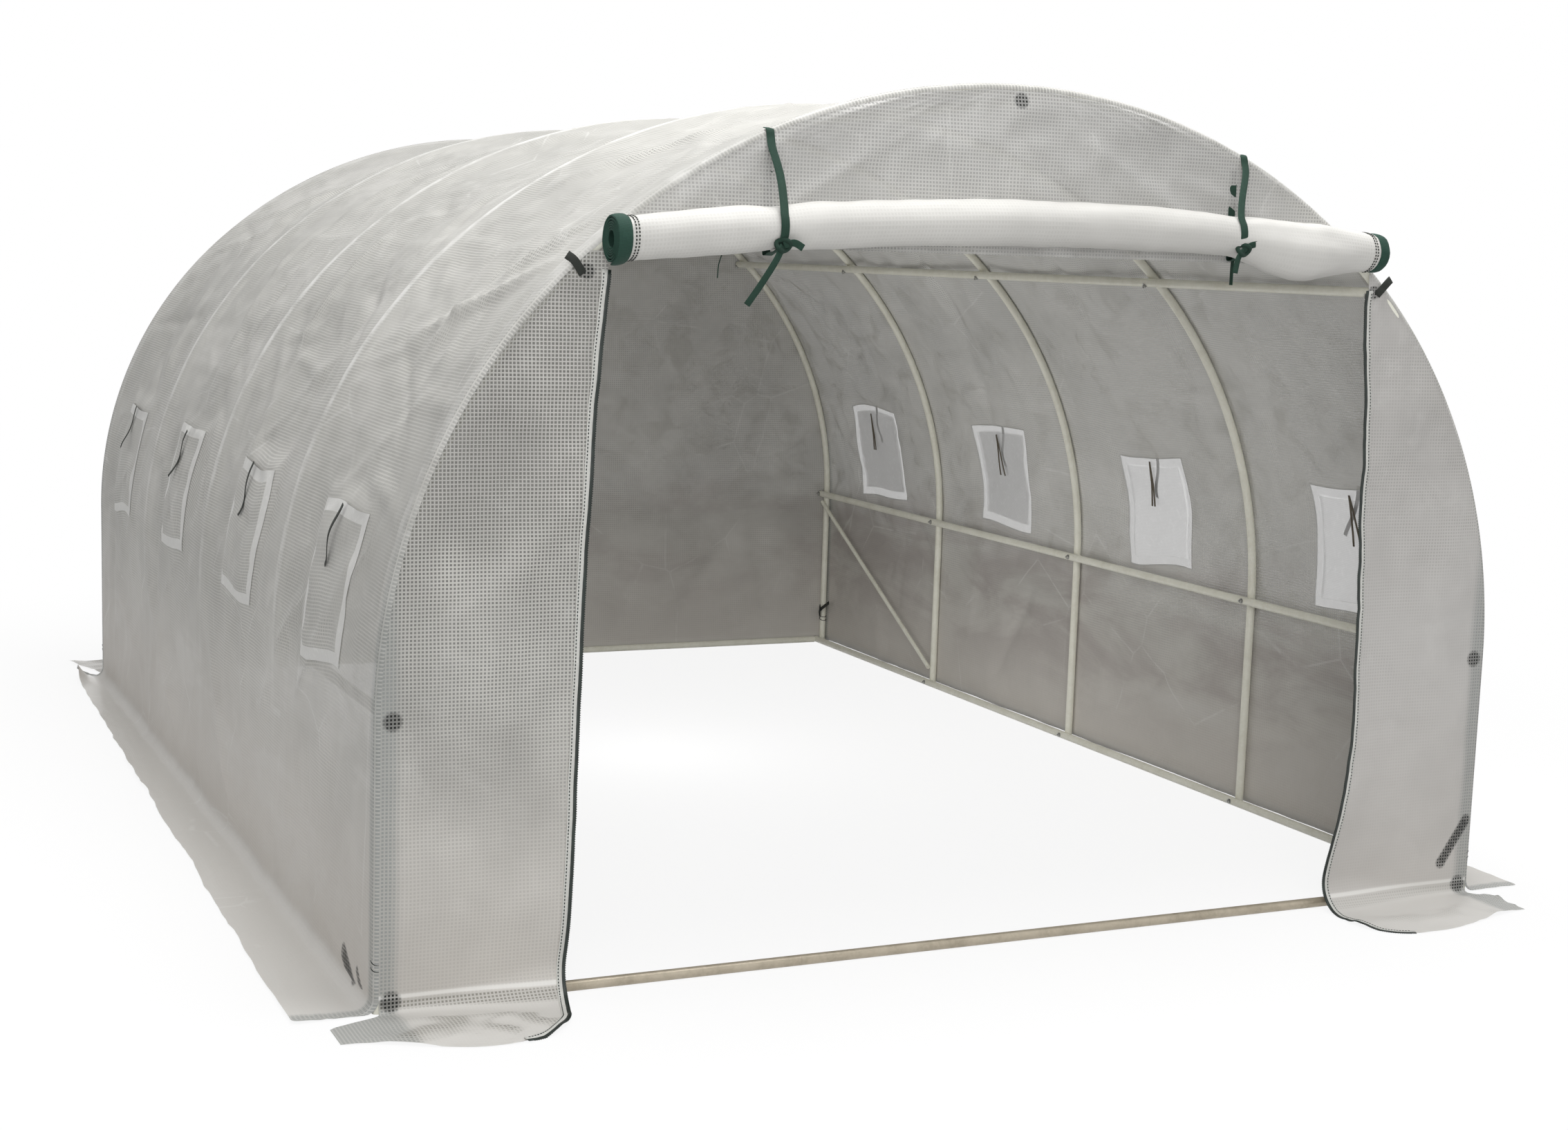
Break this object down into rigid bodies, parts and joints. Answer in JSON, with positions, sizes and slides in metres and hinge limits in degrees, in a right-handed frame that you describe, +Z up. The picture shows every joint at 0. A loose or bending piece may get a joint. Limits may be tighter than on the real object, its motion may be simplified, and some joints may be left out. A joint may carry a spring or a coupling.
{
  "type": "polytunnel greenhouse",
  "caption": "Walk-in polytunnel greenhouse: a frame of bent steel tube hoops and rails under a translucent film cover, with a rolled-up front door and net windows along both sides.",
  "frame": {"origin": "on the ground, under the middle of the tunnel", "axes": "+X across the tunnel to the right as seen from the front end, +Y from the front end to the rear end, +Z up"},
  "size_m": [3.3646, 4.5496, 2.0523],
  "materials": {
    "tube": "satin",
    "plug": "matte",
    "film": "satin",
    "zip": "matte",
    "strap": "woven",
    "net": "woven"
  },
  "bodies": {
    "root": {"hoop_1": "tube", "hoop_2": "tube", "hoop_3": "tube", "hoop_4": "tube", "hoop_5": "tube", "ridge_purlin": "tube", "left_upper_purlin": "tube", "right_upper_purlin": "tube", "left_side_rail": "tube", "right_side_rail": "tube", "left_ground_rail": "tube", "right_ground_rail": "tube", "front_sill": "tube", "rear_sill": "tube", "left_brace": "tube", "right_brace": "tube", "tube_end_plugs": "plug", "left_wall_sheet": "film", "left_shoulder_sheet": "film", "roof_sheet": "film", "right_shoulder_sheet": "film", "right_wall_sheet": "film", "rear_panel": "film", "front_left_panel": "film", "front_right_panel": "film", "front_top_panel": "film", "left_ground_flap": "film", "right_ground_flap": "film", "front_ground_flaps": "film", "rear_ground_flap": "film", "door_roll": "film", "left_window_flaps": "film", "right_window_flaps": "film", "door_zips": "zip", "door_edge_tapes": "strap", "left_door_strap": "strap", "right_door_strap": "strap", "left_window_ties": "strap", "right_window_ties": "strap", "corner_ties": "strap", "door_corner_tabs": "strap", "left_window_nets": "net", "right_window_nets": "net", "left_window_borders": "net", "right_window_borders": "net"}
  },
  "joints": []
}
